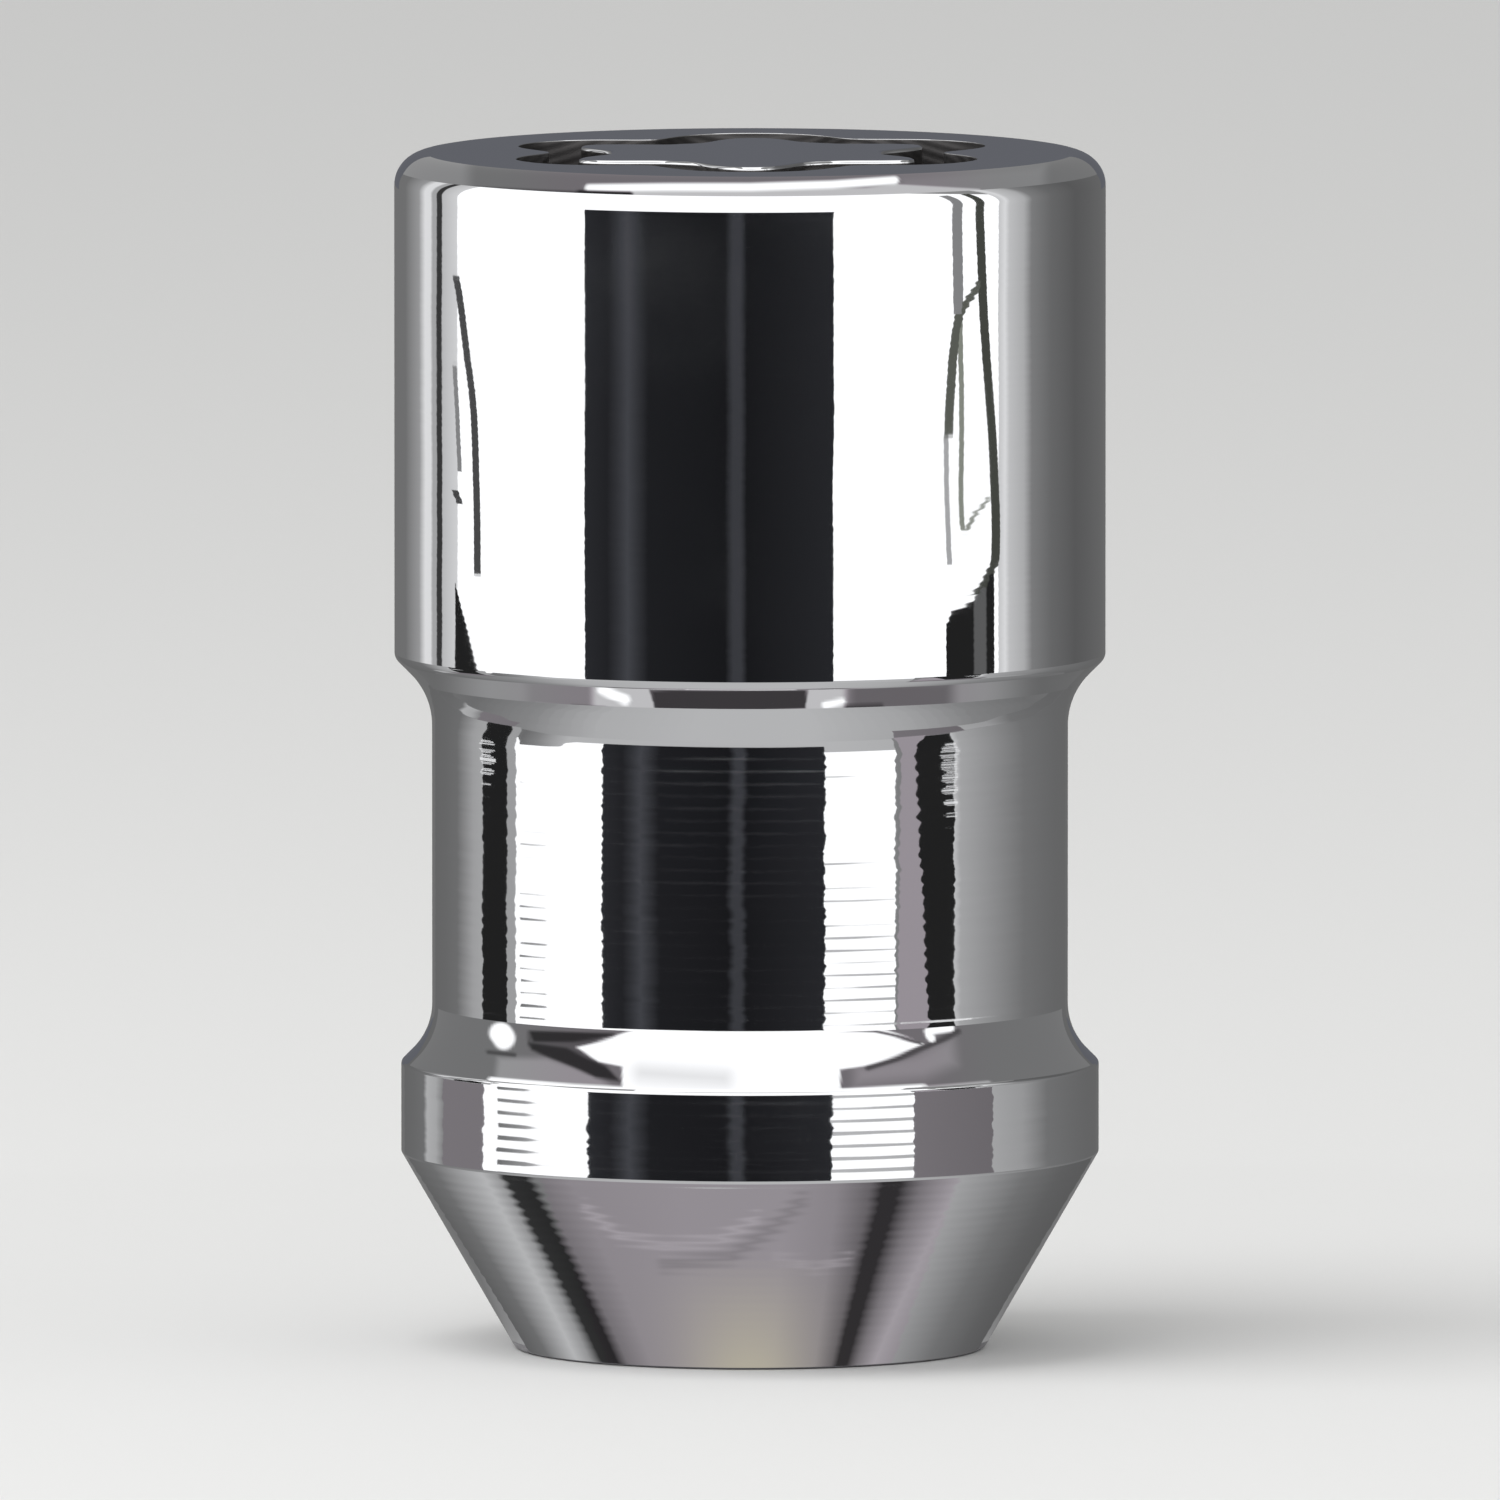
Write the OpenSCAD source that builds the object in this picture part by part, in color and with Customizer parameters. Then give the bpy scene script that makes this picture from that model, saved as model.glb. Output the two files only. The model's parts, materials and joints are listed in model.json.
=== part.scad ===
// Locking wheel nut with a cone seat, in millimetres.
// One turned piece of steel: a cone that centres the wheel, a collar above it, a
// waisted neck and a plain round head with no flats for a spanner. A closed wavy
// groove is milled into the end face of the head, round an island that stays flush.
// The nut is turned by this drive groove alone.
// +Z points from the seat end to the head, and the origin is the middle of the seat end.

/* [Stud thread] */
// Outer diameter of the stud that the nut runs on
thread_d = 12; // [10:0.5:14]
// Pitch of the thread
thread_pitch = 1.5; // [1:0.25:2]
// How far the countersunk mouth stands clear of the stud, on each side
mouth_clear = 0.6; // [0.2:0.1:1]
// Included angle of the countersunk mouth
mouth_angle = 90; // [60:5:120]
// Included angle of the drill point at the blind end
drill_angle = 118; // [90:1:140]
// Solid steel left between the drill point and the floor of the drive groove
web = 4; // [2:0.5:10]

/* [Seat] */
// Flat ring left round the mouth at the seat end
rim_w = 0.6; // [0.4:0.1:1.2]
// Rounding between that ring and the cone
rim_edge_r = 0.25; // [0.1:0.05:0.4]
// Included angle of the cone that seats in the wheel
seat_angle = 60; // [50:1:90]

/* [Collar] */
// How far the collar stands out from the neck, on each side
collar_step = 0.95; // [0.7:0.05:2]
// Length of the straight part of the collar
collar_len = 2.75; // [1.5:0.05:6]
// Rounding of the two edges of the collar
collar_edge_r = 0.2; // [0.1:0.05:0.5]

/* [Neck] */
// How far the neck is cut in below the head, on each side
neck_cut = 1.15; // [0.9:0.05:2]
// Length of the neck between the flare and the shoulder
neck_len = 10.35; // [4:0.1:20]
// Angle between the axis and the slopes at both ends of the neck
slope_angle = 45; // [35:1:50]
// Radius where the neck runs into the collar's flare
flare_r = 2.1; // [0.5:0.1:2.5]
// Radius where the neck runs into the head's shoulder
shoulder_r = 2.3; // [0.5:0.1:3]

/* [Head] */
// Diameter of the head
head_d = 21.8; // [19:0.1:26]
// Length of the straight part of the head
head_len = 15.5; // [8:0.1:25]
// Rounding of the lower edge of the head
head_foot_r = 0.35; // [0.1:0.05:0.8]
// Rounding of the top edge of the head
head_edge_r = 1; // [0.2:0.1:1.5]

/* [Drive groove] */
// Width of the groove, measured across its path
groove_w = 1.9; // [1:0.1:2.5]
// Depth of the groove below the end face
groove_depth = 3; // [1.5:0.1:5]
// Mean radius of the path that the cutter follows
path_r = 6.05; // [5:0.05:7]
// Number of lobes round the path
lobes = 6; // [4:1:8]
// How far the lobes swing out and in from the mean radius
lobe_swing = 0.85; // [0.3:0.05:1.1]
// How far a slower wave with two crests draws the path out of round
oval_swing = 0.15; // [0:0.05:0.3]
// Turn of that two-crested wave
oval_turn = 35; // [0:5:175]
// How far a slower wave with three crests makes the lobes unequal
uneven_swing = 0.12; // [0:0.02:0.2]
// Turn of that three-crested wave
uneven_turn = 20; // [0:5:115]
// Turn of the whole groove round the nut's axis
groove_turn = 30; // [0:5:60]

/* [Hidden] */
$fn = 96;
// How far the groove's cutter reaches past the end face
over = 1;
// Points round each wall of the groove
wall_steps = 180;
oval_crests = 2;
uneven_crests = 3;
// Depth of thread left standing in the tapped bore, on both sides together, in pitches
tap_share = 1.0825;
// The rounding discs are this much too large, so that they cross the lines they meet
hair = 0.0001;

bore_r = (thread_d - tap_share * thread_pitch) / 2;
mouth_r = thread_d / 2 + mouth_clear;
seat_end_r = mouth_r + rim_w;
head_r = head_d / 2;
neck_r = head_r - neck_cut;
collar_r = neck_r + collar_step;

mouth_h = (mouth_r - bore_r) / tan(mouth_angle / 2);
collar_z = (collar_r - seat_end_r) / tan(seat_angle / 2);
flare_z = collar_z + collar_len;
neck_z = flare_z + collar_step / tan(slope_angle);
shoulder_z = neck_z + neck_len;
head_z = shoulder_z + neck_cut / tan(slope_angle);
top_z = head_z + head_len;
groove_z = top_z - groove_depth;
point_z = groove_z - web;
bore_z = point_z - bore_r / tan(drill_angle / 2);

// Half section of the nut, anticlockwise from the drill point: each corner's radius from
// the axis, its height, and the radius that rounds it
corners = [
    [0, point_z, 0],
    [bore_r, bore_z, 0],
    [bore_r, mouth_h, 0],
    [mouth_r, 0, 0],
    [seat_end_r, 0, rim_edge_r],
    [collar_r, collar_z, collar_edge_r],
    [collar_r, flare_z, collar_edge_r],
    [neck_r, neck_z, flare_r],
    [neck_r, shoulder_z, shoulder_r],
    [head_r, head_z, head_foot_r],
    [head_r, top_z, head_edge_r],
    [0, top_z, 0]
];

function spot(i) = let (c = corners[(i + len(corners)) % len(corners)]) [c.x, c.y];
function rounding(i) = corners[i].z;
// Unit vectors from corner i back to the corner before it and on to the one after
function back(i) = (spot(i - 1) - spot(i)) / norm(spot(i - 1) - spot(i));
function on(i) = (spot(i + 1) - spot(i)) / norm(spot(i + 1) - spot(i));
function half_angle(i) = acos(back(i) * on(i)) / 2;
function is_outer(i) = cross(back(i), on(i)) < 0;
// Where the rounding of corner i leaves the two straight lines, and its middle
function touch_points(i) = let (t = rounding(i) / tan(half_angle(i)))
    rounding(i) == 0 ? [spot(i)] : [spot(i) + back(i) * t, spot(i) + on(i) * t];
function rounding_middle(i) = let (mid = back(i) + on(i))
    spot(i) + mid / norm(mid) * rounding(i) / sin(half_angle(i));

// Discs that fill the rounded outer corners, or clear the hollow ones
module rounding_discs(outer)
    for (i = [0:len(corners) - 1])
        if (rounding(i) > 0 && is_outer(i) == outer)
            translate(rounding_middle(i)) circle(r = rounding(i) + hair);

module turned_section()
    difference() {
        union() {
            polygon([for (i = [0:len(corners) - 1]) each touch_points(i)]);
            rounding_discs(true);
        }
        rounding_discs(false);
    }

// Radius of the cutter's path at a given angle, and its slope against a true circle
function path_at(a) = path_r + lobe_swing * cos(lobes * a)
    + oval_swing * cos(oval_crests * (a - oval_turn))
    + uneven_swing * cos(uneven_crests * (a - uneven_turn));
function path_slope(a) = -(lobes * lobe_swing * sin(lobes * a)
    + oval_crests * oval_swing * sin(oval_crests * (a - oval_turn))
    + uneven_crests * uneven_swing * sin(uneven_crests * (a - uneven_turn))) / path_at(a);
// A wall stands half a groove from the path, and further along the radius where the path climbs
function wall_at(a, side) = path_at(a) + side * groove_w / 2 * sqrt(1 + path_slope(a) ^ 2);

module inside_wall(side)
    polygon([for (i = [0:wall_steps - 1]) let (a = 360 * i / wall_steps)
        wall_at(a, side) * [cos(a), sin(a)]]);

module drive_groove()
    translate([0, 0, groove_z]) rotate(groove_turn) linear_extrude(groove_depth + over)
        difference() {
            inside_wall(1);
            inside_wall(-1);
        }

module nut_body()
    color([0.78, 0.79, 0.81]) difference() {
        rotate_extrude() turned_section();
        drive_groove();
    }

nut_body();
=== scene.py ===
"""Blender scene of a chromed locking wheel nut, standing on its seat end."""
import json
import math

import bpy
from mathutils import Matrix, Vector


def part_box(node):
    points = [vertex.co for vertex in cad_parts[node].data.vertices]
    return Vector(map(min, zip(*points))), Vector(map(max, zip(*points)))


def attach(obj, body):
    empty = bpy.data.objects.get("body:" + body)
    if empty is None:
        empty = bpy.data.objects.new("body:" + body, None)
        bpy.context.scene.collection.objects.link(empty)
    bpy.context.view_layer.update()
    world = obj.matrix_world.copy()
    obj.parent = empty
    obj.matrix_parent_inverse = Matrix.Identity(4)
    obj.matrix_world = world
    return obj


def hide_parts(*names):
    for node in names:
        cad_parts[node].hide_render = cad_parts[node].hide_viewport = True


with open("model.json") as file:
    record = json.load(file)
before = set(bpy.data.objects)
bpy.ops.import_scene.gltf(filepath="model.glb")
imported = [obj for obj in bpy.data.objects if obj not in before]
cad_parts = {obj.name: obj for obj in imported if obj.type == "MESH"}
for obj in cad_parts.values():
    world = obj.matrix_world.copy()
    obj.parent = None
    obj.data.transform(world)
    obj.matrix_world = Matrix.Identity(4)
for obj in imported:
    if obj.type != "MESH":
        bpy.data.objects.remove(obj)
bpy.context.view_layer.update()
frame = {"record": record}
MM = 0.001


# The nut's outline
# One steel piece, turned from bar: a cone seat, a collar, a waisted neck and a round head.
# Its section is a short list of corners, each with the radius that the lathe tool left on it.
# Every corner is rounded, the sharp ones too, because the light catches on real turned edges.
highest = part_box("nut_body")[1]
stud_hole = next(m for m in frame["record"]["mounts"] if m["name"] == "stud_thread")
TOP = highest[2]
HEAD_R = highest[0]
BORE_R = stud_hole["dims"]["r_mm"] * MM
NECK_R = HEAD_R - 1.15 * MM
COLLAR_R = NECK_R + 0.95 * MM
HEAD_LENGTH = 15.5 * MM
NECK_LENGTH = 10.35 * MM
COLLAR_LENGTH = 2.75 * MM
THREAD_R = 6 * MM
MOUTH_R = THREAD_R + 0.6 * MM
SEAT_END_R = MOUTH_R + 0.6 * MM
# The slopes at both ends of the neck lie at 45 degrees, so they are as long as they are deep
HEAD_Z = TOP - HEAD_LENGTH
SHOULDER_Z = HEAD_Z - (HEAD_R - NECK_R)
NECK_Z = SHOULDER_Z - NECK_LENGTH
FLARE_Z = NECK_Z - (COLLAR_R - NECK_R)
COLLAR_Z = FLARE_Z - COLLAR_LENGTH
HEAD_EDGE = 1 * MM
FLARE_R = 2.1 * MM
SHOULDER_R = 2.3 * MM
SUPPORT = 0.03 * MM
# The finishes, numbered in the order of their list
BARE, TURNED, POLISHED, MILLED = range(4)


def rounded(before, corner, after, radius, steps):
    """Points of the arc that rounds a corner, with a close point on each straight line beside it."""
    to_before = [b - c for b, c in zip(before, corner)]
    to_after = [a - c for a, c in zip(after, corner)]
    back = [v / math.hypot(*to_before) for v in to_before]
    on = [v / math.hypot(*to_after) for v in to_after]
    half = math.acos(back[0] * on[0] + back[1] * on[1]) / 2
    reach = radius / math.tan(half)
    points = [[c + b * (reach + SUPPORT) for c, b in zip(corner, back)]]
    start = [c + b * reach for c, b in zip(corner, back)]
    end = [c + o * reach for c, o in zip(corner, on)]
    middle = [c + (b + o) / (2 * math.cos(half)) * radius / math.sin(half)
              for c, b, o in zip(corner, back, on)]
    turn = math.pi - 2 * half
    for step in range(steps + 1):
        share = step / steps
        weights = [math.sin((1 - share) * turn) / math.sin(turn), math.sin(share * turn) / math.sin(turn)]
        points.append([m + weights[0] * (s - m) + weights[1] * (e - m)
                       for m, s, e in zip(middle, start, end)])
    points.append([c + o * (reach + SUPPORT) for c, o in zip(corner, on)])
    return points


# Each corner's radius from the axis and height, its rounding, the steps of that, and the finish after it
outline_corners = [
    ((MOUTH_R, 0), 0.08 * MM, 3, TURNED),
    ((SEAT_END_R, 0), 0.25 * MM, 6, TURNED),
    ((COLLAR_R, COLLAR_Z), 0.12 * MM, 4, TURNED),
    ((COLLAR_R, FLARE_Z), 0.16 * MM, 5, TURNED),
    ((NECK_R, NECK_Z), FLARE_R, 14, TURNED),
    ((NECK_R, SHOULDER_Z), SHOULDER_R, 14, TURNED),
    ((HEAD_R, HEAD_Z), 0.35 * MM, 7, POLISHED),
    ((HEAD_R, TOP), HEAD_EDGE, 14, POLISHED),
]
outline_ends = [(BORE_R, MOUTH_R - BORE_R), (0, TOP)]


# The stud thread
# An M12 thread of 1.5 mm pitch, tapped into a blind drilled hole from the seat end.
# Each turn repeats the same few rows: half a crest, a flank, the root and the other flank.
PITCH = 1.5 * MM
THREAD_DEPTH = THREAD_R - BORE_R
THREAD_TOP = 24.5 * MM
GROOVE_DEPTH = 3 * MM
WEB = 4 * MM
DRILL_HALF_ANGLE = math.radians(59)
POINT_Z = TOP - GROOVE_DEPTH - WEB
BORE_END = POINT_Z - BORE_R / math.tan(DRILL_HALF_ANGLE)
# Share of the pitch and share of the thread's depth of each row in one turn
thread_form = [(0.875, 0), (0.71875, 0.5), (0.5625, 1), (0.4375, 1), (0.28125, 0.5), (0.125, 0), (0, 0)]


# The drive groove
# A closed wavy groove, milled into the end face round an island that stays flush.
# Its path is a circle with six lobes on it, and two slower waves make each lobe a little different.
GROOVE_HALF = 0.95 * MM
OUTER_BEVEL = 0.015 * MM
ISLAND_BEVEL = 0.1 * MM
GROOVE_FOOT = 0.2 * MM
# How far in the middle of a small rounding lies, as a share of its radius
MID_ROUND = 0.3
PATH_R = 6.05 * MM
GROOVE_TURN = 30
# Crests, swing and turn in degrees of each wave on the path
path_waves = {"Lobe": (6, 0.85 * MM, 0), "Oval": (2, 0.15 * MM, 35), "Uneven": (3, 0.12 * MM, 20)}


def groove_rows():
    """The end face inside its rounded edge, the groove with its bevels, and the island."""
    face_r = HEAD_R - HEAD_EDGE
    deep = TOP - GROOVE_DEPTH
    wide = GROOVE_HALF + OUTER_BEVEL
    rows = [((1 - t) * face_r, TOP, t, t * wide, POLISHED) for t in (0.3, 0.6, 0.85)]

    def wall(bevel):
        """One wall of the groove, from the end face down to the floor."""
        return [
            (GROOVE_HALF + bevel + SUPPORT, TOP, POLISHED), (GROOVE_HALF + bevel, TOP, POLISHED),
            (GROOVE_HALF + MID_ROUND * bevel, TOP - MID_ROUND * bevel, POLISHED),
            (GROOVE_HALF, TOP - bevel, MILLED), (GROOVE_HALF, TOP - bevel - SUPPORT, MILLED),
            (GROOVE_HALF, deep + GROOVE_FOOT, MILLED),
            (GROOVE_HALF - MID_ROUND * GROOVE_FOOT, deep + MID_ROUND * GROOVE_FOOT, MILLED),
            (GROOVE_HALF - GROOVE_FOOT, deep, MILLED),
        ]

    rows.extend((0, z, 1, aside, finish) for aside, z, finish in wall(OUTER_BEVEL))
    island_wall = wall(ISLAND_BEVEL)
    for place in reversed(range(len(island_wall))):
        aside, z, _ = island_wall[place]
        finish = island_wall[place - 1][2] if place else POLISHED
        rows.append((0, z, 1, -aside, finish))
    wide = GROOVE_HALF + ISLAND_BEVEL
    rows.extend((0, TOP, t, -t * wide, POLISHED) for t in (0.8, 0.5, 0.2))
    rows.append((0, TOP, 0, 0, POLISHED))
    return [(r, z, share, aside, 0, 0, finish) for r, z, share, aside, finish in rows]


# The finishes
# Bright nickel-chrome plate over turned steel, with fine lathe marks under it that run round the
# nut and break up the edges of every reflection. The plate hardly reaches into the bore, which stays
# dull and dark. The groove's walls and floor get a near-black dull metal.
WAVE_SCALE = 260.0
PATCH_SCALE = 180.0
# How far on in the noise the second set of lines lies
OTHER_LINES = 41.7
CLEAR_OF_AXIS = 0.1 * MM
# How much the radius counts beside the height, so that flat and upright faces both get lines
RADIUS_SHARE = 0.6


def maths(tree, operation, *terms):
    """A math node on sockets and plain numbers, for geometry and shader trees alike."""
    node = tree.nodes.new("ShaderNodeMath")
    node.operation = operation
    for socket, term in zip(node.inputs, terms):
        if isinstance(term, bpy.types.NodeSocket):
            tree.links.new(term, socket)
        else:
            socket.default_value = term
    return node.outputs[0]


def shader_group(name, inputs, outputs):
    group = bpy.data.node_groups.new(name, "ShaderNodeTree")
    for label in inputs:
        group.interface.new_socket(name=label, in_out="INPUT", socket_type="NodeSocketFloat")
    for label, kind in outputs.items():
        group.interface.new_socket(name=label, in_out="OUTPUT", socket_type=kind)
    return group, group.nodes.new("NodeGroupInput").outputs, group.nodes.new("NodeGroupOutput").inputs


def vectors(tree, operation, *terms):
    """A vector math node on sockets."""
    node = tree.nodes.new("ShaderNodeVectorMath")
    node.operation = operation
    used = [node.inputs[0], node.inputs["Scale" if operation == "SCALE" else 1]]
    for socket, term in zip(used, terms):
        tree.links.new(term, socket)
    return node.outputs["Vector"]


def noise(tree, vector, scale):
    node = tree.nodes.new("ShaderNodeTexNoise")
    tree.links.new(vector, node.inputs["Vector"])
    node.inputs["Scale"].default_value = scale
    node.inputs["Detail"].default_value = 1.0
    return node.outputs[0]


def turning_marks_group():
    """Tips the normal a little from line to line, as the marks of a lathe tool do."""
    group, given, result = shader_group(
        "turning_marks", ("Line width", "Run", "Lean round", "Lean along", "Waviness", "Feed", "Feed lean"),
        {"Normal": "NodeSocketVector"})
    place = group.nodes.new("ShaderNodeTexCoord").outputs["Object"]
    split = group.nodes.new("ShaderNodeSeparateXYZ")
    group.links.new(place, split.inputs[0])
    x, y, z = split.outputs
    radius = maths(group, "SQRT", maths(group, "ADD", maths(group, "MULTIPLY", x, x),
                                        maths(group, "MULTIPLY", y, y)))
    clear_r = maths(group, "MAXIMUM", radius, CLEAR_OF_AXIS)
    down_section = maths(group, "ADD", z, maths(group, "MULTIPLY", radius, RADIUS_SHARE))
    across = maths(group, "DIVIDE", down_section, given["Line width"])

    def line_value(shift):
        """Noise that changes from line to line, and slowly along each line."""
        spread = group.nodes.new("ShaderNodeCombineXYZ")
        run = given["Run"]
        group.links.new(maths(group, "MULTIPLY", run, maths(group, "DIVIDE", x, clear_r)), spread.inputs[0])
        group.links.new(maths(group, "MULTIPLY", run, maths(group, "DIVIDE", y, clear_r)), spread.inputs[1])
        group.links.new(maths(group, "ADD", across, shift), spread.inputs[2])
        return maths(group, "SUBTRACT", noise(group, spread.outputs[0], 1.0), 0.5)

    round_way = group.nodes.new("ShaderNodeCombineXYZ")
    group.links.new(maths(group, "DIVIDE", maths(group, "MULTIPLY", y, -1), clear_r), round_way.inputs[0])
    group.links.new(maths(group, "DIVIDE", x, clear_r), round_way.inputs[1])
    turned_way = group.nodes.new("ShaderNodeVectorTransform")
    turned_way.vector_type = "VECTOR"
    turned_way.convert_from, turned_way.convert_to = "OBJECT", "WORLD"
    group.links.new(round_way.outputs[0], turned_way.inputs[0])
    normal = group.nodes.new("ShaderNodeNewGeometry").outputs["Normal"]
    along_way = vectors(group, "CROSS_PRODUCT", normal, turned_way.outputs[0])

    wave = maths(group, "MULTIPLY", maths(group, "SUBTRACT", noise(group, place, WAVE_SCALE), 0.5),
                 given["Waviness"])
    lean_round = maths(group, "ADD", maths(group, "MULTIPLY", line_value(0.0), given["Lean round"]), wave)
    feed_turn = maths(group, "DIVIDE", maths(group, "MULTIPLY", down_section, math.tau), given["Feed"])
    lean_along = maths(group, "ADD", maths(group, "MULTIPLY", line_value(OTHER_LINES), given["Lean along"]),
                       maths(group, "MULTIPLY", maths(group, "SINE", feed_turn), given["Feed lean"]))
    tipped = vectors(group, "ADD", normal, vectors(group, "SCALE", turned_way.outputs[0], lean_round))
    tipped = vectors(group, "ADD", tipped, vectors(group, "SCALE", along_way, lean_along))
    group.links.new(vectors(group, "NORMALIZE", tipped), result["Normal"])
    return group


def haze_group():
    """A thin uneven haze of handling, which dulls a bright surface in patches."""
    group, given, result = shader_group(
        "haze", ("Patch scale", "Clean roughness", "Hazy roughness"), {"Roughness": "NodeSocketFloat"})
    place = group.nodes.new("ShaderNodeTexCoord").outputs["Object"]
    patches = group.nodes.new("ShaderNodeTexNoise")
    group.links.new(place, patches.inputs["Vector"])
    group.links.new(given["Patch scale"], patches.inputs["Scale"])
    patches.inputs["Detail"].default_value = 4.0
    spread = group.nodes.new("ShaderNodeMapRange")
    group.links.new(patches.outputs[0], spread.inputs["Value"])
    spread.inputs["From Min"].default_value = 0.45
    spread.inputs["From Max"].default_value = 0.75
    group.links.new(given["Clean roughness"], spread.inputs["To Min"])
    group.links.new(given["Hazy roughness"], spread.inputs["To Max"])
    group.links.new(spread.outputs[0], result["Roughness"])
    return group


turning_marks = turning_marks_group()
haze = haze_group()


def metal(name, colour, marks, clean, hazy):
    """A bare or plated metal with lathe marks and haze, each with its own values."""
    material = bpy.data.materials.new(name)
    material.use_nodes = True
    tree = material.node_tree
    shader = tree.nodes["Principled BSDF"]
    shader.inputs["Base Color"].default_value = (*colour, 1)
    shader.inputs["Metallic"].default_value = 1.0
    lathe = tree.nodes.new("ShaderNodeGroup")
    lathe.node_tree = turning_marks
    for label, value in marks.items():
        lathe.inputs[label].default_value = value
    tree.links.new(lathe.outputs["Normal"], shader.inputs["Normal"])
    dulled = tree.nodes.new("ShaderNodeGroup")
    dulled.node_tree = haze
    dulled.inputs["Patch scale"].default_value = PATCH_SCALE
    dulled.inputs["Clean roughness"].default_value = clean
    dulled.inputs["Hazy roughness"].default_value = hazy
    tree.links.new(dulled.outputs["Roughness"], shader.inputs["Roughness"])
    return material


CHROME = (0.72, 0.725, 0.74)
polished_marks = {"Line width": 0.15 * MM, "Run": 1.5, "Lean round": 0.006, "Lean along": 0.003,
                  "Waviness": 0.012, "Feed": 0.2 * MM, "Feed lean": 0.001}
turned_marks = {"Line width": 0.2 * MM, "Run": 2.5, "Lean round": 0.026, "Lean along": 0.016,
                "Waviness": 0.01, "Feed": 0.38 * MM, "Feed lean": 0.0145}
rough_marks = {"Line width": 0.2 * MM, "Run": 4.0, "Lean round": 0.1, "Lean along": 0.1, "Waviness": 0.1,
               "Feed": 0.3 * MM, "Feed lean": 0.05}
finishes = [
    metal("bare_thread", (0.16, 0.14, 0.12), rough_marks, 0.35, 0.5),
    metal("turned_chrome", CHROME, turned_marks, 0.03, 0.06),
    metal("polished_chrome", CHROME, polished_marks, 0.02, 0.045),
    metal("milled_groove", (0.12, 0.115, 0.115), rough_marks, 0.35, 0.5),
]


# The swept nut
# The rows go round the axis in even steps and close on themselves. The result is a plain mesh that
# stands for the whole solid in the frame.
STEPS_ROUND = 320
# Points of the mesh nearer together than this are one
CLOSING_GAP = 0.002 * MM
FINISH_MATCH = 0.1


def section_rows():
    """The rows of the whole section, from the drill point to the middle of the island.

    A row is its radius, height, share of the groove's path, distance aside from that path,
    climb (1 on the thread's rows), depth of thread and finish.
    """
    rows = [(0, POINT_Z, 0, 0, 0, 0, BARE), (BORE_R, BORE_END, 0, 0, 0, 0, BARE)]
    turns = math.ceil(THREAD_TOP / PITCH) + 1
    for turn in reversed(range(turns)):
        for phase, depth in thread_form:
            rows.append((BORE_R, (turn + phase) * PITCH, 0, 0, 1, depth * THREAD_DEPTH, BARE))
    spots = [outline_ends[0]] + [corner[0] for corner in outline_corners] + [outline_ends[1]]
    for place, (corner, radius, steps, finish) in enumerate(outline_corners, 1):
        for r, z in rounded(spots[place - 1], corner, spots[place + 1], radius, steps):
            rows.append((r, z, 0, 0, 0, 0, finish))
    rows.extend(groove_rows())
    return rows


def section_object():
    """A mesh of loose points, one for each row, that carries the rows' other values."""
    rows = section_rows()
    mesh = bpy.data.meshes.new("nut_body")
    mesh.from_pydata([(row[0], 0, row[1]) for row in rows], [], [])
    for column, name in enumerate(("share", "aside", "climb", "depth", "finish"), 2):
        values = mesh.attributes.new(name, "FLOAT", "POINT")
        values.data.foreach_set("value", [row[column] for row in rows])
    made = bpy.data.objects.new("nut_body", mesh)
    bpy.context.scene.collection.objects.link(made)
    return made


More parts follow.
